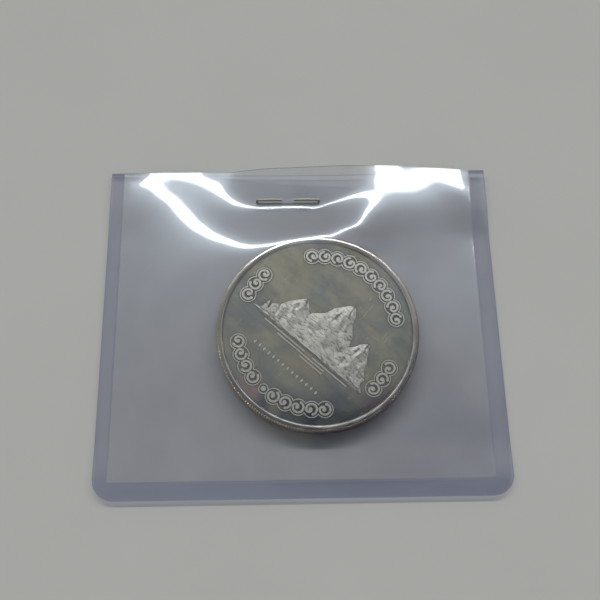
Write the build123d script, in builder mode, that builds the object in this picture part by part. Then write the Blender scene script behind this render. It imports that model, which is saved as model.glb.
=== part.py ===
"""A struck one-ounce silver round in a clear welded sleeve that a staple closes.

Millimetres. X runs across the sleeve, Y towards its open mouth and Z up from the
surface that it lies on. The origin is under the middle of the sleeve.
"""
import os
from math import cos, degrees, exp, hypot, pi, radians, sin

from build123d import *

os.makedirs("parts", exist_ok=True)

# Struck round
coin_diameter = 38.5
coin_thickness = 3.05
rim_width = 1.15
rim_crown = 0.05
edge_bevel = 0.22
field_depth = 0.3
field_shoulder = 0.22
reed_pitch = 0.55
reed_depth = 0.12
coin_x = 3.0
coin_y = -2.0
coin_turn = -42.0

# Scroll ornament round the picture
scroll_margin = 1.4
scroll_spacing = 2.48
scroll_radius = 0.98
scroll_eye = 0.5
scroll_stroke = 0.42
scroll_height = 0.24
outline_radius = 1.6
outline_stroke = 0.2
outline_height = 0.14

# Picture in the middle
picture_width = 25.0
picture_height = 12.4
picture_shift = 0.8
ground_level = -4.0
picture_relief = 0.28
facet_edge = 0.09
summit_width = 0.5
pine_height = 3.6
pine_width = 1.7
pine_relief = 0.25
ripple_height = 0.26
ripple_relief = 0.09
ripple_spacing = 0.62
root_depth = 0.06

# Row of lozenges under the picture
lozenge_count = 14
lozenge_spacing = 1.15
lozenge_width = 0.5
lozenge_length = 0.95
lozenge_relief = 0.07
lozenge_level = -9.3

# Clear sleeve
sleeve_width = 76.2
sleeve_height = 65.3
sheet = 0.35
weld_left = 2.5
weld_right = 3.1
weld_bottom = 3.3
weld_thickness = 0.6
pocket_gap = 0.1
corner_radius = 4.0
bottom_lift = 0.5
coin_clearance = 0.08
level_margin = 0.8
lobe_x = 18.0
lobe_height = 1.7
lobe_spread = 8.0
lobe_reach = 11.0
pinch_spread = 4.0

# Staple
wire = 0.5
staple_span = 13.0
staple_leg = 5.3
staple_x = -2.25
staple_from_mouth = 6.55
staple_bend = 0.3
leg_arch = 0.14
leg_arch_radius = 8.0
hole_clearance = 0.05
staple_clearance = 0.03

# Places that follow from the sizes
coin_radius = coin_diameter / 2
coin_bottom = sheet + coin_clearance
coin_top = coin_bottom + coin_thickness
mouth_y = sleeve_height / 2
foot_y = -sleeve_height / 2
staple_y = mouth_y - staple_from_mouth
pocket_left = -sleeve_width / 2 + weld_left
pocket_right = sleeve_width / 2 - weld_right
pocket_foot = foot_y + weld_bottom
level_foot = coin_y - coin_radius
level_head = coin_y + coin_radius
mouth_lift = wire + 2 * staple_clearance
pocket_edge = 2 * sheet + pocket_gap
pocket_rise = coin_top + coin_clearance + sheet - pocket_edge
scroll_ring = coin_radius - rim_width - scroll_margin - outline_radius


# The coin's own planes, turned with its design
def coin_plane(height):
    face = Plane(origin=(coin_x, coin_y, height))
    return face.rotated((0, 0, coin_turn))


field_plane = coin_plane(coin_top - field_depth)
root_plane = coin_plane(coin_top - field_depth - root_depth)
middle_plane = coin_plane(coin_bottom + coin_thickness / 2)
profile_plane = Plane(origin=middle_plane.origin, x_dir=middle_plane.x_dir, z_dir=-middle_plane.y_dir)


# One scroll: a stem that curls inwards round a ball
with BuildSketch() as scroll:
    with BuildLine():
        CenterArc((0, 0), scroll_radius, 250, -250)
        CenterArc((scroll_radius - scroll_eye, 0), scroll_eye, 0, -190)
    trace(line_width=scroll_stroke)
    with Locations((scroll_radius - 2 * scroll_eye + scroll_stroke / 2, 0.05)):
        Circle(scroll_stroke * 0.85)
    with Locations((scroll_radius * cos(radians(250)), scroll_radius * sin(radians(250)))):
        Circle(scroll_stroke * 0.65)

with BuildSketch() as scroll_turned:
    mirror(scroll.sketch, about=Plane.YZ)

# Bands of scrolls: the angle of the middle of the band, and the scrolls in it
scroll_bands = [
    {"middle": 92.5, "count": 10},
    {"middle": 183.2, "count": 3},
    {"middle": 3.0, "count": 3},
    {"middle": -116.2, "count": 4},
    {"middle": -63.2, "count": 5},
]
pellet_angle = -91.0
scroll_pitch = degrees(scroll_spacing / scroll_ring)


def on_ring(angle, turn=0.0):
    x = scroll_ring * cos(radians(angle))
    y = scroll_ring * sin(radians(angle))
    return Location((x, y, 0), (0, 0, angle - 90 + turn))


def band_angles(band):
    first = band["middle"] + scroll_pitch * (band["count"] - 1) / 2
    return [first - scroll_pitch * index for index in range(band["count"])]


all_angles = [angle for band in scroll_bands for angle in band_angles(band)]


# Rocky peaks and foothills in flat facets, from rows of points between their two slopes.
# Across and up are shares of the picture, and relief is a share of its full relief.
crag_rows = 7
crag_columns = 7
row_wave = 2.6
column_wave = 1.9
peak_wave = 7.0
crag_jog = 0.3
ridge_share = 0.94
shoulder_share = 0.66
shoulder_swing = 0.2
peaks = [
    {"summit": 0.06, "up": 1.0, "left": -0.27, "right": 0.34, "relief": 1.0},
    {"summit": -0.25, "up": 0.6, "left": -0.47, "right": 0.0, "relief": 0.85},
    {"summit": 0.33, "up": 0.66, "left": 0.1, "right": 0.5, "relief": 0.9},
    {"summit": -0.06, "up": 0.27, "left": -0.5, "right": 0.5, "relief": 0.8},
]


def crag_height(row, column, relief):
    if column in (0, crag_columns - 1):
        return facet_edge
    if 2 * column == crag_columns - 1:
        return relief * (ridge_share + (1 - ridge_share) * cos(row_wave * row))
    return relief * (shoulder_share + shoulder_swing * cos(row_wave * row + column_wave * column))


def crag_points(peak):
    summit_x = picture_shift + peak["summit"] * picture_width
    left_x = picture_shift + peak["left"] * picture_width
    right_x = picture_shift + peak["right"] * picture_width
    row_step = picture_height * peak["up"] / crag_rows
    points = []
    for row in range(crag_rows + 1):
        down = row / crag_rows
        start = summit_x - summit_width / 2 + (left_x - summit_x) * down
        stop = summit_x + summit_width / 2 + (right_x - summit_x) * down
        level = ground_level + picture_height * peak["up"] * (1 - down)
        column_step = (stop - start) / (crag_columns - 1)
        line = []
        for column in range(crag_columns):
            across = column / (crag_columns - 1)
            swing = sin(row_wave * row + column_wave * column + peak_wave * peak["summit"])
            jog = crag_jog * column_step * swing
            dip = crag_jog * row_step * cos(column_wave * column) * (0 < row < crag_rows)
            height = crag_height(row, column, picture_relief * peak["relief"])
            line.append((start + (stop - start) * across + jog, level + dip, height))
        points.append(line)
    return points


def facet(*corners):
    spots = [field_plane.from_local_coords(corner) for corner in corners]
    return Face(Wire.make_polygon(spots, close=True))


def sunk(corner):
    return (corner[0], corner[1], -root_depth)


def crag(peak):
    rows = crag_points(peak)
    faces = []
    for upper, lower in zip(rows, rows[1:]):
        for column in range(crag_columns - 1):
            faces.append(facet(upper[column], lower[column], lower[column + 1]))
            faces.append(facet(upper[column], lower[column + 1], upper[column + 1]))
    left_side = [line[0] for line in rows]
    right_side = [line[-1] for line in rows]
    outline = left_side + rows[-1][1:] + right_side[-2::-1] + rows[0][-2:0:-1]
    for start, stop in zip(outline, outline[1:] + outline[:1]):
        faces.append(facet(start, stop, sunk(stop), sunk(start)))
    faces.append(facet(*[sunk(corner) for corner in outline]))
    return Solid(Shell(faces))


# Pines: where they stand across the picture, and their share of the full height.
# Each has a trunk and three tiers of branches, as shares of its height and width.
pines = [
    {"across": -0.46, "size": 0.8},
    {"across": -0.39, "size": 1.0},
    {"across": -0.325, "size": 0.7},
    {"across": 0.335, "size": 0.72},
    {"across": 0.395, "size": 1.0},
    {"across": 0.455, "size": 0.78},
]
pine_tiers = [
    {"low": 0.0, "top": 0.4, "half": 0.08},
    {"low": 0.14, "top": 0.56, "half": 0.5},
    {"low": 0.36, "top": 0.78, "half": 0.38},
    {"low": 0.58, "top": 1.0, "half": 0.26},
]


def pine_tier(foot_x, tier, size):
    top = ground_level + pine_height * size * tier["top"]
    low = ground_level + pine_height * size * tier["low"]
    half = pine_width * size * tier["half"]
    Polygon((foot_x - half, low), (foot_x + half, low), (foot_x, top), align=None)


# Ripples on the water: how far below the ground, where across, and how wide
ripples = [
    {"row": 0, "across": 0.0, "width": 0.96},
    {"row": 1, "across": -0.2, "width": 0.4},
    {"row": 1, "across": 0.24, "width": 0.34},
    {"row": 2, "across": -0.02, "width": 0.46},
    {"row": 3, "across": 0.1, "width": 0.22},
]

# Coin: turned blank, reeded edge, then the raised design on its front
with BuildPart() as coin:
    half_thickness = coin_thickness / 2
    field_half = half_thickness - field_depth
    rim_inner = coin_radius - rim_width
    with BuildSketch(profile_plane):
        with BuildLine():
            Line((0, field_half), (rim_inner - field_shoulder, field_half))
            Line((rim_inner - field_shoulder, field_half), (rim_inner, half_thickness - rim_crown))
            ThreePointArc(
                (rim_inner, half_thickness - rim_crown),
                (coin_radius - rim_width / 2, half_thickness),
                (coin_radius - edge_bevel, half_thickness - rim_crown),
            )
            Polyline(
                (coin_radius - edge_bevel, half_thickness - rim_crown),
                (coin_radius, half_thickness - edge_bevel),
                (coin_radius, 0),
                (0, 0),
                (0, field_half),
            )
        make_face()
        mirror(about=Plane.XZ)
    revolve(axis=Axis(middle_plane.origin, (0, 0, 1)))

    reed_count = round(pi * coin_diameter / reed_pitch)
    reed_step = 2 * pi / reed_count
    with BuildSketch(coin_plane(coin_bottom)):
        with BuildLine():
            reeds = []
            for index in range(reed_count):
                crest = index * reed_step
                valley = crest + reed_step / 2
                low_radius = coin_radius - reed_depth
                reeds.append((coin_radius * cos(crest), coin_radius * sin(crest)))
                reeds.append((low_radius * cos(valley), low_radius * sin(valley)))
            Polyline(*reeds, close=True)
        make_face()
    extrude(amount=coin_thickness, mode=Mode.INTERSECT)

    with BuildSketch(root_plane):
        for band in scroll_bands:
            for index, angle in enumerate(band_angles(band)):
                shape = scroll_turned if index % 2 else scroll
                with Locations(on_ring(angle, 180 if index % 2 else 0)):
                    add(shape.sketch)
        with Locations(on_ring(pellet_angle)):
            Circle(scroll_radius / 2)
    extrude(amount=root_depth + scroll_height)

    with BuildSketch(root_plane):
        with Locations(*[on_ring(angle) for angle in all_angles]):
            Circle(outline_radius)
        with Locations(*[on_ring(angle) for angle in all_angles]):
            Circle(outline_radius - outline_stroke, mode=Mode.SUBTRACT)
        with Locations(on_ring(pellet_angle)):
            Circle(scroll_radius)
            Circle(scroll_radius - outline_stroke, mode=Mode.SUBTRACT)
    extrude(amount=root_depth + outline_height)

    add([crag(peak) for peak in peaks])

    with BuildSketch(root_plane):
        for pine in pines:
            for tier in pine_tiers:
                pine_tier(picture_shift + pine["across"] * picture_width, tier, pine["size"])
    extrude(amount=root_depth + pine_relief)

    with BuildSketch(root_plane):
        for ripple in ripples:
            level = ground_level - ripple_height / 2 - ripple["row"] * ripple_spacing
            with Locations((picture_shift + ripple["across"] * picture_width, level)):
                SlotOverall(ripple["width"] * picture_width, ripple_height)
    extrude(amount=root_depth + ripple_relief)

    with BuildSketch(root_plane):
        with Locations((0, lozenge_level)):
            with GridLocations(lozenge_spacing, 1, lozenge_count, 1):
                half_width = lozenge_width / 2
                half_length = lozenge_length / 2
                Polygon((half_width, 0), (0, half_length), (-half_width, 0), (0, -half_length))
    extrude(amount=root_depth + lozenge_relief)


# How high the back sheet's underside stands at each place along the sleeve
def ease(share):
    share = min(max(share, 0.0), 1.0)
    return share * share * (3 - 2 * share)


def back_height(y):
    if y > level_head:
        return mouth_lift * ease((y - level_head) / (staple_y - level_head))
    return bottom_lift * ease((level_foot - y) / (level_foot - foot_y))


# The front sheet swells over the coin, fades to the welds, stands up beside the mouth
# and is pinched by the staple
def weld_distance(x, y):
    sides = (x - pocket_left, pocket_right - x, y - pocket_foot)
    nearest = [max(side, 0.05) for side in sides]
    return sum(side ** -3 for side in nearest) ** (-1 / 3)


def staple_distance(x, y):
    past_end = max(abs(x - staple_x) - staple_span / 2, 0.0)
    return hypot(past_end, y - staple_y)


def front_height(x, y):
    inside = weld_distance(x, y)
    outside = max(hypot(x - coin_x, y - coin_y) - coin_radius - level_margin, 0.0)
    swell = pocket_rise * ease(inside / (inside + outside))
    near_lobe = ((x - lobe_x) / lobe_spread) ** 2 + ((mouth_y - y) / lobe_reach) ** 2
    lobe = lobe_height * exp(-near_lobe) * ease(inside / lobe_spread)
    free = 1 - exp(-((staple_distance(x, y) / pinch_spread) ** 2))
    return back_height(y) + pocket_edge + (swell + lobe) * free


# The sheet's face as a smooth surface through a grid, past the pocket on each side
surface_columns = 41
surface_rows = 37
surface_margin = 2.5


def front_surface(drop):
    width = pocket_right - pocket_left + 2 * surface_margin
    length = mouth_y - pocket_foot + 2 * surface_margin
    grid = []
    for column in range(surface_columns):
        x = pocket_left - surface_margin + width * column / (surface_columns - 1)
        line = []
        for row in range(surface_rows):
            y = pocket_foot - surface_margin + length * row / (surface_rows - 1)
            line.append((x, y, front_height(x, y) - drop))
        grid.append(line)
    return Face.make_surface_from_array_of_points(grid, tol=0.01)


# Side views of the sleeve: a band of even thickness, and all that is above the back sheet
sky = 12.0
overrun = 1.0
past_mouth = mouth_y + overrun


def back_line(start, stop, above):
    third = (stop - start) / 3
    low = back_height(start) + above
    high = back_height(stop) + above
    Bezier((start, low), (start + third, low), (stop - third, high), (stop, high))


def back_lines(above):
    back_line(foot_y, level_foot, above)
    Line((level_foot, above), (level_head, above))
    back_line(level_head, staple_y, above)
    Line((staple_y, mouth_lift + above), (past_mouth, mouth_lift + above))


def band_view(x, low, high):
    with BuildSketch(Plane.YZ.offset(x)) as view:
        with BuildLine():
            back_lines(low)
            back_lines(high)
            Line((foot_y, bottom_lift + low), (foot_y, bottom_lift + high))
            Line((past_mouth, mouth_lift + low), (past_mouth, mouth_lift + high))
        make_face()
    return view.sketch


def open_view(x, low):
    with BuildSketch(Plane.YZ.offset(x)) as view:
        with BuildLine():
            back_lines(low)
            Polyline(
                (foot_y, bottom_lift + low),
                (foot_y, sky),
                (past_mouth, sky),
                (past_mouth, mouth_lift + low),
            )
        make_face()
    return view.sketch


# The swollen front of the pocket, and the hollow under it
with BuildPart() as swollen_front:
    extrude(open_view(pocket_left, weld_thickness / 2), amount=pocket_right - pocket_left)
    split(bisect_by=Plane.XZ.offset(-pocket_foot), keep=Keep.BOTTOM)
    split(bisect_by=front_surface(0), keep=Keep.BOTTOM)

with BuildPart() as hollow:
    extrude(open_view(pocket_left + sheet, sheet), amount=pocket_right - pocket_left - 2 * sheet)
    split(bisect_by=Plane.XZ.offset(-pocket_foot - sheet), keep=Keep.BOTTOM)
    split(bisect_by=front_surface(sheet), keep=Keep.BOTTOM)

# Sleeve: flat welded border, swollen front, hollow, cut mouth and pierced holes
with BuildPart() as sleeve:
    extrude(band_view(-sleeve_width / 2, 0, weld_thickness), amount=sleeve_width)
    fillet(sleeve.edges().filter_by(Axis.Z).group_by(Axis.Y)[0], radius=corner_radius)
    add(swollen_front.part)
    add(hollow.part, mode=Mode.SUBTRACT)
    split(bisect_by=Plane.XZ.offset(-mouth_y), keep=Keep.TOP)
    with BuildSketch():
        with Locations((staple_x, staple_y)):
            with GridLocations(staple_span - wire, 1, 2, 1):
                Circle(wire / 2 + hole_clearance)
    extrude(amount=sky, mode=Mode.SUBTRACT)

# Staple: crown behind the sleeve, legs through both sheets and folded in on the front
with BuildPart() as staple:
    crown_z = wire / 2
    leg_z = mouth_lift + pocket_edge + staple_clearance + wire / 2
    left = staple_x - staple_span / 2 + wire / 2
    right = staple_x + staple_span / 2 - wire / 2
    left_tip = staple_x - staple_span / 2 + staple_leg
    right_tip = staple_x + staple_span / 2 - staple_leg
    arch_z = leg_z + leg_arch
    with BuildLine(Plane.XZ.offset(-staple_y)) as bent_wire:
        FilletPolyline(
            (left_tip, leg_z),
            ((left + left_tip) / 2, arch_z),
            (left, leg_z),
            (left, crown_z),
            (right, crown_z),
            (right, leg_z),
            ((right + right_tip) / 2, arch_z),
            (right_tip, leg_z),
            radius=[leg_arch_radius] + 4 * [staple_bend] + [leg_arch_radius],
        )
    with BuildSketch(Plane(origin=bent_wire.line @ 0, z_dir=bent_wire.line % 0)):
        Circle(wire / 2)
    sweep(path=bent_wire.line)

coin.part.label = "coin"
sleeve.part.label = "sleeve"
staple.part.label = "staple"
export_step(coin.part, "parts/coin.step")
export_step(sleeve.part, "parts/sleeve.step")
export_step(staple.part, "parts/staple.step")

for piece in (coin, sleeve, staple):
    size = piece.part.bounding_box().size
    print(piece.part.label, round(piece.part.volume, 2), "mm3", [round(side, 2) for side in size])
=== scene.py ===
# %% [markdown]
# # A silver round in a stapled clear sleeve
#
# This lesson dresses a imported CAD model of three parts: a struck silver round, the clear welded
# sleeve that it lies in, and the staple that closes the sleeve's mouth. The CAD parts fix every
# size and place. Blender gives them what CAD can't: a front sheet that is bent by the coin and
# the staple, plastic that mirrors a window, and silver that has lain in a drawer.

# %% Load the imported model
import math
import bpy
import numpy as np
from mathutils import Matrix, Vector


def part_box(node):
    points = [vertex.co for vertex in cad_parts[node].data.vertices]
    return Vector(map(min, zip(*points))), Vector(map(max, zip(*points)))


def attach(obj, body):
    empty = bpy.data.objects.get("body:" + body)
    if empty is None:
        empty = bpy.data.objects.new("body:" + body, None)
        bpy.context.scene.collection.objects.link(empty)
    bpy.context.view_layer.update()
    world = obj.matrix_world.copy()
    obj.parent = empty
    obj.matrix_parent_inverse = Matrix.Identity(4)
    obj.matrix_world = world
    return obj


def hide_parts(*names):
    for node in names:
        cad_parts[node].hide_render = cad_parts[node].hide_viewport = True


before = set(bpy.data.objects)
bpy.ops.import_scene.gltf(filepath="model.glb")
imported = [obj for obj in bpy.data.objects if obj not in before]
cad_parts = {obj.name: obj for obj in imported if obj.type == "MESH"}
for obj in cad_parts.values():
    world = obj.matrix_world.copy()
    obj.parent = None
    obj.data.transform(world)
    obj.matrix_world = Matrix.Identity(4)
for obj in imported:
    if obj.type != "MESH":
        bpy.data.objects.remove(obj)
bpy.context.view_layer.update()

MM = 0.001
scene = bpy.context.scene

# %% [markdown]
# ## Where the eye is
#
# The photograph was taken from close above, a little in front of the sleeve. The lens and the
# place of the camera were fitted to the sleeve's four corners and the coin's outline: with their
# real sizes known, only one camera puts them where the picture shows them. The "Standard" view
# keeps the tones plain, as a small camera does.

# %% Camera
scene.view_settings.view_transform = "Standard"
camera_place = (-4.21, -45.66, 147.1)
camera_turn = -4.55
camera_tilt = 19.15
camera_roll = 3.74

eye = bpy.data.cameras.new("eye")
eye.sensor_width = 36
eye.lens = 47.8
eye.clip_start = 10 * MM
camera = bpy.data.objects.new("camera", eye)
scene.collection.objects.link(camera)
turn = Matrix.Rotation(math.radians(camera_turn), 4, "Z")
tilt = Matrix.Rotation(math.radians(camera_tilt), 4, "X")
roll = Matrix.Rotation(math.radians(camera_roll), 4, "Z")
place = Matrix.Translation(Vector(camera_place) * MM)
camera.matrix_world = place @ turn @ tilt @ roll
scene.camera = camera
print("camera at", [round(value, 4) for value in camera.matrix_world.translation])

# %% [markdown]
# ## Small helpers for node trees
#
# A procedural finish is a tree of small nodes. Each helper below adds one kind of node, fills
# its sockets with numbers or with the outputs of other nodes, and hands back the output, so
# that a finish reads from top to bottom like a recipe.

# %% Node helpers


def add_node(tree, kind, sockets=None, **settings):
    node = tree.nodes.new("ShaderNode" + kind)
    for name, value in settings.items():
        setattr(node, name, value)
    for name, value in (sockets or {}).items():
        if isinstance(value, bpy.types.NodeSocket):
            tree.links.new(value, node.inputs[name])
        else:
            node.inputs[name].default_value = value
    return node


def calc(tree, operation, first, second=0.0, third=0.0, clamp=False):
    sockets = {0: first, 1: second, 2: third}
    return add_node(tree, "Math", sockets, operation=operation, use_clamp=clamp).outputs[0]


def span(tree, value, low, high, out_low=0.0, out_high=1.0, smooth=True):
    kind = "SMOOTHSTEP" if smooth else "LINEAR"
    sockets = {0: value, 1: low, 2: high, 3: out_low, 4: out_high}
    return add_node(tree, "MapRange", sockets, interpolation_type=kind).outputs[0]


def blend_tones(tree, share, first, second, way="MIX"):
    sockets = {0: share, 6: first, 7: second}
    return add_node(tree, "Mix", sockets, data_type="RGBA", blend_type=way).outputs[2]


def cloud(tree, place, scale, detail=2.0, roughness=0.5, distortion=0.0):
    sockets = {
        "Vector": place,
        "Scale": scale,
        "Detail": detail,
        "Roughness": roughness,
        "Distortion": distortion,
    }
    return add_node(tree, "TexNoise", sockets).outputs[0]


def local_place(tree, origin, turn_degrees=0.0, unit=MM):
    spot = add_node(tree, "TexCoord").outputs["Object"]
    sockets = {
        "Vector": spot,
        "Location": origin,
        "Rotation": (0, 0, math.radians(turn_degrees)),
        "Scale": (unit, unit, unit),
    }
    return add_node(tree, "Mapping", sockets, vector_type="TEXTURE").outputs[0]


def new_material(name):
    material = bpy.data.materials.new(name)
    material.use_nodes = True
    material.node_tree.nodes.clear()
    return material, material.node_tree


def close_material(tree, shader):
    add_node(tree, "OutputMaterial", {"Surface": shader})


print("node helpers ready")

# %% [markdown]
# ## The table and the light
#
# The object lies on a plain pale surface. Most of its light comes from one long window high
# beyond the sleeve's mouth, so that the clear sheet mirrors it in thin bright bands. The window's
# low edge and its height were fitted to those bands. The rest is the room: walls in quiet greys,
# and a dark patch right overhead, which matters because a mirror-like coin shows it.

# %% Table top
table_drop = 0.05 * MM
table_half = 3.0

table_mesh = bpy.data.meshes.new("table")
table_corners = [
    (-table_half, -table_half, -table_drop),
    (table_half, -table_half, -table_drop),
    (table_half, table_half, -table_drop),
    (-table_half, table_half, -table_drop),
]
table_mesh.from_pydata(table_corners, [], [(0, 1, 2, 3)])
table = bpy.data.objects.new("table", table_mesh)
scene.collection.objects.link(table)

table_finish, tree = new_material("pale_table")
table_spot = local_place(tree, (0, 0, 0))
table_haze = cloud(tree, table_spot, 0.02, 3.0, 0.6)
dull_pale = (0.54, 0.545, 0.52, 1)
clear_pale = (0.59, 0.595, 0.57, 1)
table_tone = blend_tones(tree, table_haze, dull_pale, clear_pale)
table_sockets = {"Base Color": table_tone, "Roughness": 0.9, "Specular IOR Level": 0.1}
close_material(tree, add_node(tree, "BsdfPrincipled", table_sockets).outputs[0])
table_mesh.materials.append(table_finish)
print("table finish nodes:", len(tree.nodes))

# %% Window
window_distance = 2.5
window_low = 2.95
window_high = 3.33
window_left = -3.5
window_right = 5.5
window_glow = 20.0

window_width = window_right - window_left
window_height = window_high - window_low
window_light = bpy.data.lights.new("window", "AREA")
window_light.shape = "RECTANGLE"
window_light.size = window_width
window_light.size_y = window_height
window_light.energy = window_glow * math.pi * window_width * window_height
window_light.color = (0.97, 0.99, 1.0)
window = bpy.data.objects.new("window", window_light)
scene.collection.objects.link(window)
window.location = (
    (window_left + window_right) / 2,
    window_distance,
    (window_low + window_high) / 2,
)
window.rotation_euler = (math.radians(-90), 0, 0)
print("window", round(window_width, 2), "by", round(window_height, 2), "m")

# %% Room
room = bpy.data.worlds.new("room")
room.use_nodes = True
scene.world = room
tree = room.node_tree
tree.nodes.clear()
look = add_node(tree, "TexCoord").outputs["Generated"]
look_parts = add_node(tree, "SeparateXYZ", {0: look}).outputs
ahead = calc(tree, "MULTIPLY_ADD", look_parts[1], 0.5, 0.5)
room_ramp = add_node(tree, "ValToRGB", {0: ahead})
room_stops = [
    (0.0, (0.235, 0.22, 0.20)),
    (0.38, (0.215, 0.20, 0.18)),
    (0.50, (0.21, 0.205, 0.19)),
    (0.60, (0.225, 0.225, 0.215)),
    (0.72, (0.30, 0.30, 0.30)),
    (0.80, (0.55, 0.56, 0.57)),
    (1.0, (0.34, 0.34, 0.34)),
]
ramp_elements = room_ramp.color_ramp.elements
while len(ramp_elements) < len(room_stops):
    ramp_elements.new(1.0)
for element, (position, tone) in zip(ramp_elements, room_stops):
    element.position = position
    element.color = (*tone, 1)
overhead = span(tree, look_parts[2], 0.72, 0.82)
far_edge = span(tree, look_parts[1], 0.235, 0.195)
near_edge = span(tree, look_parts[1], -0.62, -0.5)
side_edge = span(tree, look_parts[0], -0.01, 0.03)
dark_patch = calc(tree, "MULTIPLY", calc(tree, "MULTIPLY", overhead, far_edge), near_edge)
dark_patch = calc(tree, "MULTIPLY", dark_patch, side_edge)
patch_tone = (0.025, 0.035, 0.06, 1)
room_strength = 1.15
room_tone = blend_tones(tree, dark_patch, room_ramp.outputs[0], patch_tone)
room_glow = add_node(tree, "Background", {"Color": room_tone, "Strength": room_strength})
add_node(tree, "OutputWorld", {"Surface": room_glow.outputs[0]})
print("room stops:", len(room_stops))

# %% [markdown]
# ## The front sheet, bent over the coin
#
# The sleeve is two flat sheets of clear vinyl, welded along three edges. The coin lifts the front
# sheet, the welds and the staple pull it down, and between them it bends as little as it can.
# A bent sheet could be drawn by hand or dropped as cloth, but its reflections show every
# wobble. So the sheet is worked out as what it is, an elastic plate: a grid of heights whose
# bending energy is least, held by springs at the welds and the staple, and kept from sinking into
# the coin. Vinyl also keeps the folds of being opened, so three straight creases and two slack
# spots are held at heights of their own. Those heights and the mouth's are given to a tenth of a
# millimetre, from a search against the bright bands in view. The sheet's tension is that
# search's, rounded.

# %% Sizes of the sleeve, in millimetres
half_width = 38.1
half_height = 32.65
weld_left = 2.5
weld_right = 3.1
weld_bottom = 3.3
weld_thickness = 0.6
sheet = 0.35
pocket_edge = 0.8
corner_radius = 4.0

pocket_left = weld_left - half_width
pocket_right = half_width - weld_right
pocket_foot = weld_bottom - half_height
mouth = half_height

coin_low, coin_high = (np.array(corner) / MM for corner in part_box("coin"))
coin_centre = (coin_low + coin_high) / 2
coin_radius = (coin_high[0] - coin_low[0]) / 2
coin_top = coin_high[2]
staple_low, staple_high = (np.array(corner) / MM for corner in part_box("staple"))
staple_line = (staple_low[1] + staple_high[1]) / 2
print("coin radius", round(coin_radius, 2), "top", round(coin_top, 2))

# %% How far the sleeve's edges stand off the table
lift_left = 0.3
lift_right = 0.95
lift_foot = 0.5


def ease(share):
    share = np.clip(share, 0, 1)
    return share * share * (3 - 2 * share)


def lift(x, y):
    """Height of the back sheet's underside above the table."""
    coin_head = coin_centre[1] + coin_radius
    coin_foot = coin_centre[1] - coin_radius
    side = lift_left + (lift_right - lift_left) * (x + half_width) / (2 * half_width)
    head = side * ease((y - coin_head) / (staple_line - coin_head))
    foot = lift_foot * ease((coin_foot - y) / (coin_foot + half_height))
    return head + foot


print("lift at the mouth:", [round(float(lift(x, mouth)), 2) for x in (-38, 0, 38)])

# %% Bending energy of the plate
plate_columns = 50
plate_rows = 43
plate_x = np.linspace(pocket_left, pocket_right, plate_columns)
plate_y = np.linspace(pocket_foot, mouth, plate_rows)
step_x = plate_x[1] - plate_x[0]
step_y = plate_y[1] - plate_y[0]
tension = 0.038


def difference(count, step, order):
    """Energy of the slopes (order 1) or the bends (order 2) along one line of the grid."""
    pattern = (-1, 1) if order == 1 else (1, -2, 1)
    rows = np.zeros((count - order, count))
    for row in range(count - order):
        rows[row, row:row + order + 1] = pattern
    rows /= step ** order
    return rows.T @ rows


slope_x = difference(len(plate_x), step_x, 1)
slope_y = difference(len(plate_y), step_y, 1)
bend_x = difference(len(plate_x), step_x, 2)
bend_y = difference(len(plate_y), step_y, 2)
same_x = np.eye(len(plate_x))
same_y = np.eye(len(plate_y))
stiffness = np.kron(bend_x, same_y) + np.kron(same_x, bend_y) + 2 * np.kron(slope_x, slope_y)
stiffness += tension ** 2 * (np.kron(slope_x, same_y) + np.kron(same_x, slope_y))
stiffness *= step_x * step_y
load = np.zeros(len(stiffness))
print("plate grid:", len(plate_x), "by", len(plate_y))

# %% Springs at the welds, the mouth and the staple


def around(x, y):
    """The four grid points round one spot of the plate, and how they share it."""
    column = min((x - pocket_left) / step_x, len(plate_x) - 1.001)
    row = min((y - pocket_foot) / step_y, len(plate_y) - 1.001)
    near = int(column) * len(plate_y) + int(row)
    part_x = column % 1
    part_y = row % 1
    shares = np.array([
        (1 - part_x) * (1 - part_y),
        (1 - part_x) * part_y,
        part_x * (1 - part_y),
        part_x * part_y,
    ])
    return [near, near + 1, near + len(plate_y), near + len(plate_y) + 1], shares


def hold(x, y, height, grip):
    """Tie one spot of the plate to a height with a spring."""
    points, shares = around(x, y)
    stiffness[np.ix_(points, points)] += grip * np.outer(shares, shares)
    load[points] += grip * height * shares


weld_grip = 40000
staple_grip = 3600
fold_grip = 400
soft_grip = 64
for y in plate_y:
    hold(pocket_left, y, lift(pocket_left, y) + pocket_edge, weld_grip)
    hold(pocket_right, y, lift(pocket_right, y) + pocket_edge, weld_grip)
for x in plate_x:
    hold(x, pocket_foot, lift(x, pocket_foot) + pocket_edge, weld_grip)

# The mouth lies shut on the left, springs up beside the staple, and arches down to the
# right weld. Each point is a place across the sleeve and a height.
mouth_line = [(-36, 0.8), (-16, 0.9), (-7, 2.8), (9, 4.0), (19, 3.7), (35, 1.7)]
mouth_x, mouth_heights = zip(*mouth_line)
for x in plate_x:
    hold(x, mouth, np.interp(x, mouth_x, mouth_heights), soft_grip)

clamped_height = 1.4
clamped_strip = 1.2
staple_inset = 0.4
staple_spots = 9
for x in np.linspace(staple_low[0] + staple_inset, staple_high[0] - staple_inset, staple_spots):
    hold(x, staple_line, clamped_height, staple_grip)
    hold(x, staple_line - clamped_strip, clamped_height, staple_grip)
print("mouth points:", len(mouth_line))

# %% Old folds and the slack beside them
fold_spacing = 5.0


def crease(start, end, grip):
    """Hold the sheet along a straight line from one (x, y, height) to another."""
    start = np.array(start)
    end = np.array(end)
    length = math.hypot(end[0] - start[0], end[1] - start[1])
    count = round(length / fold_spacing) + 1
    for x, y, height in np.linspace(start, end, count):
        hold(x, y, height, grip)
    return count


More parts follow.
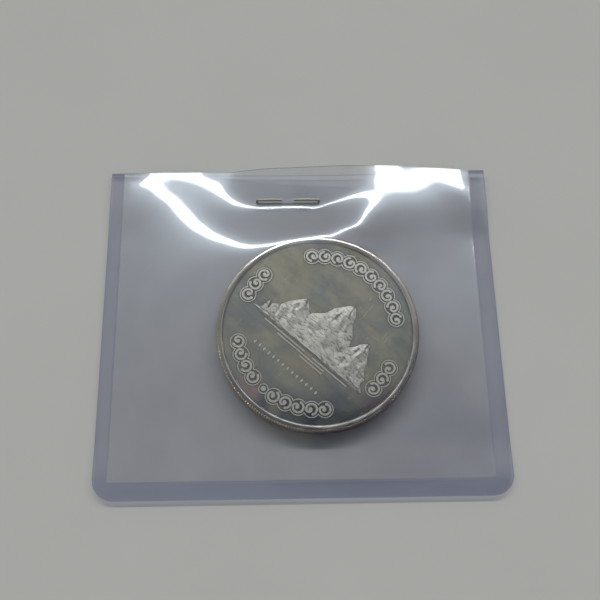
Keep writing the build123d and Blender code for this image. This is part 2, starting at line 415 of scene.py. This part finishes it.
left_fold = ((-35, 32, 0.9), (-14, 19, 3.0))
right_fold = ((11.5, 18, 4.8), (14.5, 28, 4.1))
right_shoulder = ((22, 28, 3.7), (33, 27, 2.2))
slack_spots = [(-24, 8, 3.1), (28, 18, 2.8)]
supports = crease(*left_fold, fold_grip)
supports += crease(*right_fold, fold_grip)
supports += crease(*right_shoulder, soft_grip)
for x, y, level in slack_spots:
    hold(x, y, level, soft_grip)
print("supports along the folds:", supports, "and slack spots:", len(slack_spots))

# %% Settle the sheet on the coin's rim
grid_x, grid_y = np.meshgrid(plate_x, plate_y, indexing="ij")
from_coin = np.hypot(grid_x - coin_centre[0], grid_y - coin_centre[1])
rim_margin = 1.5
face_gap = 0.05
shut_height = 0.71
rim_gap = 0.08
rim_overhang = 0.7
rim_count = 160
contact_grip = 12000.0
most_passes = 6
on_face = from_coin < coin_radius - rim_margin
face_height = coin_top + face_gap + sheet
rest_height = np.where(on_face, face_height, lift(grid_x, grid_y) + shut_height).ravel()
rim_height = coin_top + rim_gap + sheet
rim_reach = coin_radius + rim_overhang
rim_spots = np.linspace(0, 2 * math.pi, rim_count, endpoint=False)
rim_rows = np.zeros((len(rim_spots), len(load)))
for row, spot_angle in zip(rim_rows, rim_spots):
    rim_x = coin_centre[0] + rim_reach * math.cos(spot_angle)
    rim_y = coin_centre[1] + rim_reach * math.sin(spot_angle)
    points, shares = around(rim_x, rim_y)
    row[points] = shares
resting = on_face.ravel()
on_rim = np.ones(len(rim_spots), dtype=bool)
for attempt in range(most_passes):
    press = np.where(resting, contact_grip, 0.0)
    rim_press = np.where(on_rim, contact_grip, 0.0)
    held = stiffness + np.diag(press) + (rim_rows.T * rim_press) @ rim_rows
    pushed = load + press * rest_height + rim_rows.T @ (rim_press * rim_height)
    heights = np.linalg.solve(held, pushed)
    now_resting = heights < rest_height
    now_on_rim = rim_rows @ heights < rim_height
    changed = int((now_resting != resting).sum() + (now_on_rim != on_rim).sum())
    resting = now_resting
    on_rim = now_on_rim
    if changed == 0:
        break
face_spots = int((resting & on_face.ravel()).sum())
print("rim spots touched:", int(on_rim.sum()), "face spots:", face_spots)
plate = heights.reshape(grid_x.shape)
print("settled after", attempt + 1, "passes, top at", round(float(plate.max()), 2), "mm")

# %% [markdown]
# ## From heights to a sleeve
#
# The heights are turned into a smooth surface with cubic splines, and the sleeve is then sewn as
# one closed skin: the outside of both sheets, the inside of the pocket, the cut edges, and the
# welds where the sheets are one. Each face knows whether it is free sheet, weld or cut edge,
# because they look different: a weld is a little thinner and darker, and light gathers in the
# cut edges.

# %% Cubic splines through the plate


def spline_weights(knots, places):
    """Rows that turn knot values into values at other places, on a natural cubic spline."""
    count = len(knots)
    step = knots[1] - knots[0]
    curve = np.eye(count)
    right_side = np.zeros((count, count))
    for row in range(1, count - 1):
        curve[row, row - 1:row + 2] = (1, 4, 1)
        right_side[row, row - 1:row + 2] = np.array((1, -2, 1)) * 6 / step ** 2
    bends = np.linalg.solve(curve, right_side)
    weights = np.zeros((len(places), count))
    for row, place in enumerate(places):
        start = int(min((place - knots[0]) / step, count - 2))
        far = (place - knots[start]) / step
        near = 1 - far
        weights[row, start] += near
        weights[row, start + 1] += far
        weights[row] += (near ** 3 - near) * step ** 2 / 6 * bends[start]
        weights[row] += (far ** 3 - far) * step ** 2 / 6 * bends[start + 1]
    return weights


fine_columns = 119
fine_rows = 105
pocket_x = np.linspace(pocket_left, pocket_right, fine_columns)
pocket_y = np.linspace(pocket_foot, mouth, fine_rows)
pocket_top = spline_weights(plate_x, pocket_x) @ plate @ spline_weights(plate_y, pocket_y).T
print("fine grid:", pocket_top.shape)

# %% Grid lines of the whole sleeve
weld_steps = np.array([0.0, 0.15, 0.3, 0.45, 0.6, 0.8])
seam_width = 0.15
line_x = np.concatenate([
    -half_width + weld_left * weld_steps,
    [pocket_left - seam_width],
    pocket_x,
    [pocket_right + seam_width],
    half_width - weld_right * weld_steps[::-1],
])
line_y = np.concatenate([
    -half_height + weld_bottom * weld_steps,
    [pocket_foot - seam_width],
    pocket_y,
])
first_x = len(weld_steps) + 1
last_x = first_x + len(pocket_x) - 1
first_y = first_x
sleeve_x, sleeve_y = np.meshgrid(line_x, line_y, indexing="ij")
under = lift(sleeve_x, sleeve_y)
over = under + weld_thickness
over[first_x:last_x + 1, first_y:] = pocket_top
print("sleeve grid:", sleeve_x.shape)

# %% Round the two bottom corners
for side in (-1, 1):
    in_x = np.clip((side * sleeve_x - (half_width - corner_radius)) / corner_radius, 0, 1)
    in_y = np.clip((-sleeve_y - (half_height - corner_radius)) / corner_radius, 0, 1)
    corner = (in_x > 0) & (in_y > 0)
    pull_x = in_x * np.sqrt(1 - in_y ** 2 / 2) - in_x
    pull_y = in_y * np.sqrt(1 - in_x ** 2 / 2) - in_y
    sleeve_x = sleeve_x + np.where(corner, side * pull_x * corner_radius, 0)
    sleeve_y = sleeve_y - np.where(corner, pull_y * corner_radius, 0)
print("corner reach:", round(float(sleeve_x[0, 0]), 2), round(float(sleeve_y[0, 0]), 2))

# %% The four skins and their faces
bow_start = 20
bow_length = 12
bow_depth = 0.65
bow_across = np.clip(1 - (line_x / pocket_right) ** 2, 0, 1)[:, None]
bow = bow_across * ease((sleeve_y - bow_start) / bow_length)
back_y = sleeve_y - bow_depth * bow
inside = (slice(first_x, last_x + 1), slice(first_y, None))
points = []


def add_skin(x, y, z):
    """Store one grid of points, and hand back the grid of their numbers."""
    start = len(points)
    points.extend(np.stack([x, y, z], axis=-1).reshape(-1, 3) * MM)
    return start + np.arange(x.size).reshape(x.shape)


top = add_skin(sleeve_x, sleeve_y, over)
bottom = add_skin(sleeve_x, back_y, under)
roof = add_skin(sleeve_x[inside], sleeve_y[inside], over[inside] - sheet)
ground = add_skin(sleeve_x[inside], back_y[inside], under[inside] + sheet)

faces = []
face_kinds = []
FREE_SHEET, WELD, SEAM, CUT_EDGE = range(4)


def add_face(corners, kind):
    faces.append([int(corner) for corner in corners])
    face_kinds.append(kind)


def skin_kind(i, j):
    """What a face of the outer skins is: free sheet, cut edge, seam or weld."""
    if first_x <= i < last_x and j >= first_y:
        return FREE_SHEET
    if j == len(line_y) - 2:
        return CUT_EDGE
    beside = i in (first_x - 1, last_x) and j >= first_y - 1
    below = j == first_y - 1 and first_x - 1 <= i <= last_x
    return SEAM if beside or below else WELD


def add_patch(skin, welded):
    for i in range(skin.shape[0] - 1):
        for j in range(skin.shape[1] - 1):
            kind = skin_kind(i, j) if welded else FREE_SHEET
            add_face((skin[i, j], skin[i + 1, j], skin[i + 1, j + 1], skin[i, j + 1]), kind)


def add_wall(upper, lower, kind):
    for k in range(len(upper) - 1):
        add_face((upper[k], upper[k + 1], lower[k + 1], lower[k]), kind)


add_patch(top, True)
add_patch(bottom, True)
add_patch(roof, False)
add_patch(ground, False)
print("skin points:", len(points), "patch faces:", len(faces))

# %% Cut edges, weld line and mouth
add_wall(top[0], bottom[0], CUT_EDGE)
add_wall(top[-1], bottom[-1], CUT_EDGE)
add_wall(top[:, 0], bottom[:, 0], CUT_EDGE)
add_wall(roof[0], ground[0], WELD)
add_wall(roof[-1], ground[-1], WELD)
add_wall(roof[:, 0], ground[:, 0], WELD)

mouth_top = top[:, -1]
mouth_bottom = bottom[:, -1]
add_wall(mouth_top[:first_x], mouth_bottom[:first_x], CUT_EDGE)
add_wall(mouth_top[last_x + 1:], mouth_bottom[last_x + 1:], CUT_EDGE)
add_wall(mouth_top[first_x:last_x + 1], roof[:, -1], CUT_EDGE)
add_wall(ground[:, -1], mouth_bottom[first_x:last_x + 1], CUT_EDGE)
for outer, inner, k in ((first_x - 1, first_x, 0), (last_x + 1, last_x, -1)):
    ring = (mouth_top[outer], mouth_top[inner], roof[k, -1])
    ring += (ground[k, -1], mouth_bottom[inner], mouth_bottom[outer])
    add_face(ring, CUT_EDGE)
print("faces:", len(faces))

# %% The sleeve object
import bmesh

sleeve_mesh = bpy.data.meshes.new("sleeve_sheets")
sleeve_mesh.from_pydata([tuple(point) for point in points], [], faces)
sleeve_mesh.polygons.foreach_set("material_index", face_kinds)
shell = bmesh.new()
shell.from_mesh(sleeve_mesh)
bmesh.ops.recalc_face_normals(shell, faces=shell.faces)
open_edges = sum(not edge.is_manifold for edge in shell.edges)
shell.to_mesh(sleeve_mesh)
shell.free()
sleeve_mesh.polygons.foreach_set("use_smooth", [True] * len(sleeve_mesh.polygons))
sharp_degrees = 40
sleeve_mesh.set_sharp_from_angle(angle=math.radians(sharp_degrees))
sleeve = bpy.data.objects.new("sleeve_sheets", sleeve_mesh)
scene.collection.objects.link(sleeve)
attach(sleeve, "root")
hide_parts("sleeve")
print("sleeve faces:", len(sleeve_mesh.polygons), "open edges:", open_edges)

# %% [markdown]
# ## Clear vinyl
#
# Soft vinyl sheet is clear with a lilac cast. Each face of it mirrors about a twenty-fifth of the
# light that falls straight on it, and more at a glance. Glass-like shaders bend light and make
# dark caustics under thin sheet, so this finish mixes a tinted see-through shader with a gloss
# shader by the angle of view. A second, duller gloss gives the soft halo round each bright
# band. The weld is the same vinyl, only deeper in colour, because the heat has clouded it.

# %% Vinyl finish
straight_mirror = 0.065
glancing_mirror = 0.9
foot_shade_start = -26.0
foot_shade_end = -30.0


def vinyl(name, clear_tint, shaded_foot_tint, scuffs):
    material, tree = new_material(name)
    spot = local_place(tree, (0, 0, 0))
    facing = add_node(tree, "LayerWeight", {"Blend": 0.5}).outputs["Facing"]
    glance = calc(tree, "POWER", facing, 5.0)
    mirror_share = calc(tree, "MULTIPLY_ADD", glance, glancing_mirror, straight_mirror)
    ripple = cloud(tree, spot, 0.35, 3.0, 0.55)
    bump_sockets = {"Height": ripple, "Strength": 0.05, "Distance": 0.02 * MM}
    bump = add_node(tree, "Bump", bump_sockets).outputs[0]
    along = add_node(tree, "SeparateXYZ", {0: spot}).outputs[1]
    # Painted shade: the see-through tint deepens towards the sleeve's foot, so the welds darken
    # towards the bottom.
    foot_shade_share = span(tree, along, foot_shade_start, foot_shade_end)
    tint = blend_tones(tree, foot_shade_share, clear_tint, shaded_foot_tint)
    haze = span(tree, cloud(tree, spot, 0.12, 4.0, 0.6), 0.3, 0.75, 0.985, 1.0)
    tint = blend_tones(tree, 1.0, tint, haze, "MULTIPLY")
    see_through = add_node(tree, "BsdfTransparent", {"Color": tint}).outputs[0]
    sharp = {"Color": (1, 1, 1, 1), "Roughness": 0.07, "Normal": bump}
    soft = {"Color": (0.76, 0.90, 1, 1), "Roughness": 0.22, "Normal": bump}
    sharp_gloss = add_node(tree, "BsdfGlossy", sharp).outputs[0]
    soft_gloss = add_node(tree, "BsdfGlossy", soft).outputs[0]
    gloss = add_node(tree, "MixShader", {0: scuffs, 1: sharp_gloss, 2: soft_gloss}).outputs[0]
    mix = add_node(tree, "MixShader", {0: mirror_share, 1: see_through, 2: gloss}).outputs[0]
    close_material(tree, mix)
    return material


sheet_tint = (0.978, 0.978, 0.994, 1)
weld_tint = (0.885, 0.888, 0.935, 1)
# Painted shade: the welds' tint is deeper towards the foot.
weld_shaded_foot_tint = (0.83, 0.843, 0.913, 1)
seam_tint = (0.80, 0.80, 0.87, 1)
cut_tint = (0.62, 0.62, 0.74, 1)
sleeve_mesh.materials.append(vinyl("clear_vinyl", sheet_tint, sheet_tint, 0.5))
sleeve_mesh.materials.append(vinyl("welded_vinyl", weld_tint, weld_shaded_foot_tint, 0.3))
sleeve_mesh.materials.append(vinyl("seam_vinyl", seam_tint, seam_tint, 0.3))
sleeve_mesh.materials.append(vinyl("cut_vinyl", cut_tint, cut_tint, 0.4))
print("vinyl finishes:", [material.name for material in sleeve_mesh.materials])

# %% [markdown]
# ## Silver
#
# The round was struck from polished dies, so its flat field is a mirror and its raised work is
# frosted. Handling and time have dulled the mirror with cloudy toning, warm or cool in patches,
# and left hairline scratches; the field is also pinkish in two round patches. A smoky patch near
# the foot and a smoky arc of the rim are painted dark reflection, and the golden rim and reeds on
# one side are painted reflection of a warm room. A thin bright ring at the rim's inner edge is a
# painted highlight. The finish reads the height above the field and the distance from the coin's
# centre to know field, relief, rim and reeds.

# %% Silver finish
coin_turn = -42.0
field_depth = 0.3
field_height = coin_top - field_depth
field_radius = 18.1
reeds = 220.0
coin_origin = (coin_centre[0] * MM, coin_centre[1] * MM, field_height * MM)

silver, tree = new_material("struck_silver")
spot = local_place(tree, coin_origin, coin_turn)
spot_parts = add_node(tree, "SeparateXYZ", {0: spot}).outputs
flat_spot = add_node(tree, "VectorMath", {0: spot, 1: (1, 1, 0)}, operation="MULTIPLY").outputs[0]
radius = add_node(tree, "VectorMath", {0: flat_spot}, operation="LENGTH").outputs["Value"]
above_field = spot_parts[2]
raised = span(tree, above_field, 0.02, 0.05)
in_field = span(tree, radius, field_radius - 0.15, field_radius, 1.0, 0.0)
relief = calc(tree, "MULTIPLY", raised, in_field)
print("silver masks ready")

# %% Toning, wear and a painted dark reflection


def round_patch(x, y, size):
    """A soft round patch of the given radius round one place of the coin, in its own millimetres.
    """
    away = add_node(tree, "VectorMath", {0: flat_spot, 1: (x, y, 0)}, operation="DISTANCE")
    return span(tree, away.outputs["Value"], size, size * 0.2)


mist = cloud(tree, flat_spot, 0.11, 5.0, 0.62, 0.6)
patches = cloud(tree, flat_spot, 0.3, 4.0, 0.55, 0.4)
wipe_map = {"Vector": flat_spot, "Rotation": (0, 0, 0.35), "Scale": (0.12, 0.6, 1)}
wiping = cloud(tree, add_node(tree, "Mapping", wipe_map).outputs[0], 1.0, 5.0, 0.6, 0.4)
cool_tone = (0.48, 0.505, 0.47, 1)
warm_tone = (0.69, 0.665, 0.50, 1)
pink_tone = (0.74, 0.55, 0.50, 1)
dark_reflection_tone = (0.20, 0.22, 0.27, 1)
frost_tone = (0.50, 0.49, 0.42, 1)
tone = blend_tones(tree, span(tree, mist, 0.36, 0.6), cool_tone, warm_tone)
# Two soft round patches where the field turns pinkish.
pink_patches = calc(tree, "ADD", round_patch(-2.1, -16.2, 4.0), round_patch(17.3, -3.5, 4.5))
pink_patches = calc(tree, "MULTIPLY", pink_patches, span(tree, patches, 0.35, 0.6))
tone = blend_tones(tree, pink_patches, tone, pink_tone)
# Painted reflection: a mottled smoky-blue patch near the foot stands for the dark room mirrored
# in the field.
dark_reflection_mottle = span(tree, patches, 0.6, 0.4, 0.25, 0.9)
dark_reflection_share = calc(tree, "MULTIPLY", round_patch(3.5, -17.5, 7.5), dark_reflection_mottle)
tone = blend_tones(tree, dark_reflection_share, tone, dark_reflection_tone)
tone = blend_tones(tree, 1.0, tone, span(tree, wiping, 0.3, 0.7, 0.86, 1.08), "MULTIPLY")
tone = blend_tones(tree, relief, tone, frost_tone)
print("field toning nodes:", len(tree.nodes))

# %% Rim tone, with painted reflections and a painted highlight
warm_reflection_direction = -120
dark_reflection_direction = -82
plain_rim = (0.50, 0.49, 0.43, 1)
warm_reflection_rim = (0.44, 0.42, 0.33, 1)
dark_reflection_rim = (0.25, 0.24, 0.24, 1)
inner_rim_highlight_tone = (0.80, 0.785, 0.72, 1)
rim_share = calc(tree, "SUBTRACT", 1.0, in_field)
angle = calc(tree, "ARCTAN2", spot_parts[1], spot_parts[0])
# Painted reflection: one side of the rim is tinted gold for a warm room mirrored in it.
warm_reflection_side = calc(tree, "COSINE", calc(tree, "SUBTRACT", angle, math.radians(warm_reflection_direction)))
warm_reflection_share = span(tree, warm_reflection_side, 0.1, 0.95)
rim_tone = blend_tones(tree, warm_reflection_share, plain_rim, warm_reflection_rim)
# Painted reflection: an arc of the rim is darkened for the dark room mirrored in it.
dark_reflection_side = calc(tree, "COSINE", calc(tree, "SUBTRACT", angle, math.radians(dark_reflection_direction)))
rim_tone = blend_tones(tree, span(tree, dark_reflection_side, 0.72, 0.96), rim_tone, dark_reflection_rim)
tone = blend_tones(tree, rim_share, tone, rim_tone)
# Painted highlight: a thin bright ring just inside the rim's inner edge.
inner_rim_highlight = calc(tree, "ABSOLUTE", calc(tree, "SUBTRACT", radius, field_radius + 0.1))
inner_rim_highlight = span(tree, inner_rim_highlight, 0.12, 0.04)
tone = blend_tones(tree, inner_rim_highlight, tone, inner_rim_highlight_tone)
print("toning nodes:", len(tree.nodes))

# %% Reeded edge
reeds_start = 18.87
reeds_full = 18.97
warm_reflection_valley = (0.22, 0.17, 0.11, 1)
warm_reflection_crest = (1.0, 0.90, 0.64, 1)
brown_valley = (0.15, 0.09, 0.07, 1)
brown_crest = (0.55, 0.40, 0.31, 1)
side_share = span(tree, radius, reeds_start, reeds_full)
reed_wave = calc(tree, "COSINE", calc(tree, "MULTIPLY", angle, reeds))
reed_crest = calc(tree, "MULTIPLY_ADD", reed_wave, 0.5, 0.5)
reed_crest = span(tree, reed_crest, 0.25, 0.8)
# Painted reflection: on the warm side the reeds take gold tones; elsewhere they are toned brown,
# darker in the valleys.
valley_tone = blend_tones(tree, warm_reflection_share, brown_valley, warm_reflection_valley)
crest_tone = blend_tones(tree, warm_reflection_share, brown_crest, warm_reflection_crest)
reed_tone = blend_tones(tree, reed_crest, valley_tone, crest_tone)
tone = blend_tones(tree, side_share, tone, reed_tone)
print("reeds:", int(reeds))

# %% Dark crevices
crevice_sockets = {"Distance": 0.7 * MM}
crevice = add_node(tree, "AmbientOcclusion", crevice_sockets, samples=6, only_local=True)
open_share = span(tree, crevice.outputs["AO"], 0.5, 0.97, 0.18, 1.0, smooth=False)
tone = blend_tones(tree, 1.0, tone, open_share, "MULTIPLY")
print("crevice nodes:", len(tree.nodes))

# %% Rock on the mountains
streak_map = {"Vector": spot, "Rotation": (0, 0, 0.5), "Scale": (0.9, 2.4, 1)}
streaks = cloud(tree, add_node(tree, "Mapping", streak_map).outputs[0], 1.0, 4.0, 0.6, 0.7)
picture_side = (13.2, 12.8)
picture_ground = (-4.3, -4.1)
picture_sky = (9.5, 9.3)
in_width = span(tree, calc(tree, "ABSOLUTE", spot_parts[0]), *picture_side)
in_height = span(tree, spot_parts[1], *picture_ground)
in_top = span(tree, spot_parts[1], *picture_sky)
picture = calc(tree, "MULTIPLY", calc(tree, "MULTIPLY", in_width, in_height), in_top)
rock = calc(tree, "MULTIPLY", picture, relief)
cracks = span(tree, streaks, 0.34, 0.52, 0.4, 0.95)
crack_tone = blend_tones(tree, rock, (1, 1, 1, 1), cracks)
tone = blend_tones(tree, 1.0, tone, crack_tone, "MULTIPLY")
print("rock nodes:", len(tree.nodes))

# %% Gloss, frosting and scratches


def hairlines(turn, low):
    """Thin straight scratches that all run one way."""
    scratch_map = {"Vector": flat_spot, "Rotation": (0, 0, turn), "Scale": (5, 0.1, 1)}
    lines = cloud(tree, add_node(tree, "Mapping", scratch_map).outputs[0], 1.0, 3.0, 0.6)
    return span(tree, lines, low, low + 0.04)


grain = cloud(tree, spot, 7.0, 2.0, 0.6)
scratches = calc(tree, "MAXIMUM", hairlines(0.6, 0.63), hairlines(2.1, 0.65))
scratches = calc(tree, "MULTIPLY", scratches, span(tree, patches, 0.4, 0.6))
field_gloss = span(tree, mist, 0.3, 0.7, 0.07, 0.12)
field_gloss = calc(tree, "MULTIPLY_ADD", scratches, 0.2, field_gloss)
frost_gloss = span(tree, grain, 0.3, 0.7, 0.34, 0.5)
gloss_mix = {0: relief, 2: field_gloss, 3: frost_gloss}
face_gloss = add_node(tree, "Mix", gloss_mix, data_type="FLOAT").outputs[0]
rim_mix = {0: rim_share, 2: face_gloss, 3: span(tree, patches, 0.3, 0.7, 0.14, 0.26)}
silver_roughness = add_node(tree, "Mix", rim_mix, data_type="FLOAT").outputs[0]
surface_height = calc(tree, "MULTIPLY", grain, relief)
rock_height = calc(tree, "MULTIPLY", streaks, rock)
surface_height = calc(tree, "MULTIPLY_ADD", rock_height, 3.0, surface_height)
reed_height = calc(tree, "MULTIPLY", reed_crest, side_share)
surface_height = calc(tree, "MULTIPLY_ADD", reed_height, 3.0, surface_height)
bump_sockets = {"Height": surface_height, "Strength": 0.8, "Distance": 0.03 * MM}
silver_bump = add_node(tree, "Bump", bump_sockets).outputs[0]
silver_sockets = {
    "Base Color": tone,
    "Metallic": 1.0,
    "Roughness": silver_roughness,
    "Normal": silver_bump,
}
close_material(tree, add_node(tree, "BsdfPrincipled", silver_sockets).outputs[0])
print("silver nodes:", len(tree.nodes))

# %% Put the silver on the coin


def dress_node(name, material):
    """Give one finish to every mesh of a CAD node."""
    meshes = [obj for obj in bpy.data.objects if obj.type == "MESH"]
    nodes = [obj for obj in meshes if obj.name.split(".")[0] == name]
    for obj in nodes:
        for slot in obj.material_slots:
            slot.material = material
        if not obj.material_slots:
            obj.data.materials.append(material)
    return nodes


print("coin objects:", [obj.name for obj in dress_node("coin", silver)])

# %% [markdown]
# ## Staple wire
#
# A staple is drawn steel wire, dull grey, with fine lines along its length from the drawing die.

# %% Wire finish
wire, tree = new_material("drawn_wire")
spot = local_place(tree, (0, 0, 0))
draw_map = {"Vector": spot, "Scale": (0.4, 14, 14)}
draw_spot = add_node(tree, "Mapping", draw_map).outputs[0]
draw_lines = cloud(tree, draw_spot, 1.0, 3.0, 0.6)
dull_wire = (0.34, 0.34, 0.29, 1)
bright_wire = (0.50, 0.50, 0.43, 1)
wire_tone = blend_tones(tree, draw_lines, dull_wire, bright_wire)
wire_roughness = span(tree, draw_lines, 0.3, 0.7, 0.42, 0.6)
wire_bump_sockets = {"Height": draw_lines, "Strength": 0.4, "Distance": 0.02 * MM}
wire_bump = add_node(tree, "Bump", wire_bump_sockets).outputs[0]
wire_sockets = {
    "Base Color": wire_tone,
    "Metallic": 1.0,
    "Roughness": wire_roughness,
    "Normal": wire_bump,
}
close_material(tree, add_node(tree, "BsdfPrincipled", wire_sockets).outputs[0])
print("staple objects:", [obj.name for obj in dress_node("staple", wire)])
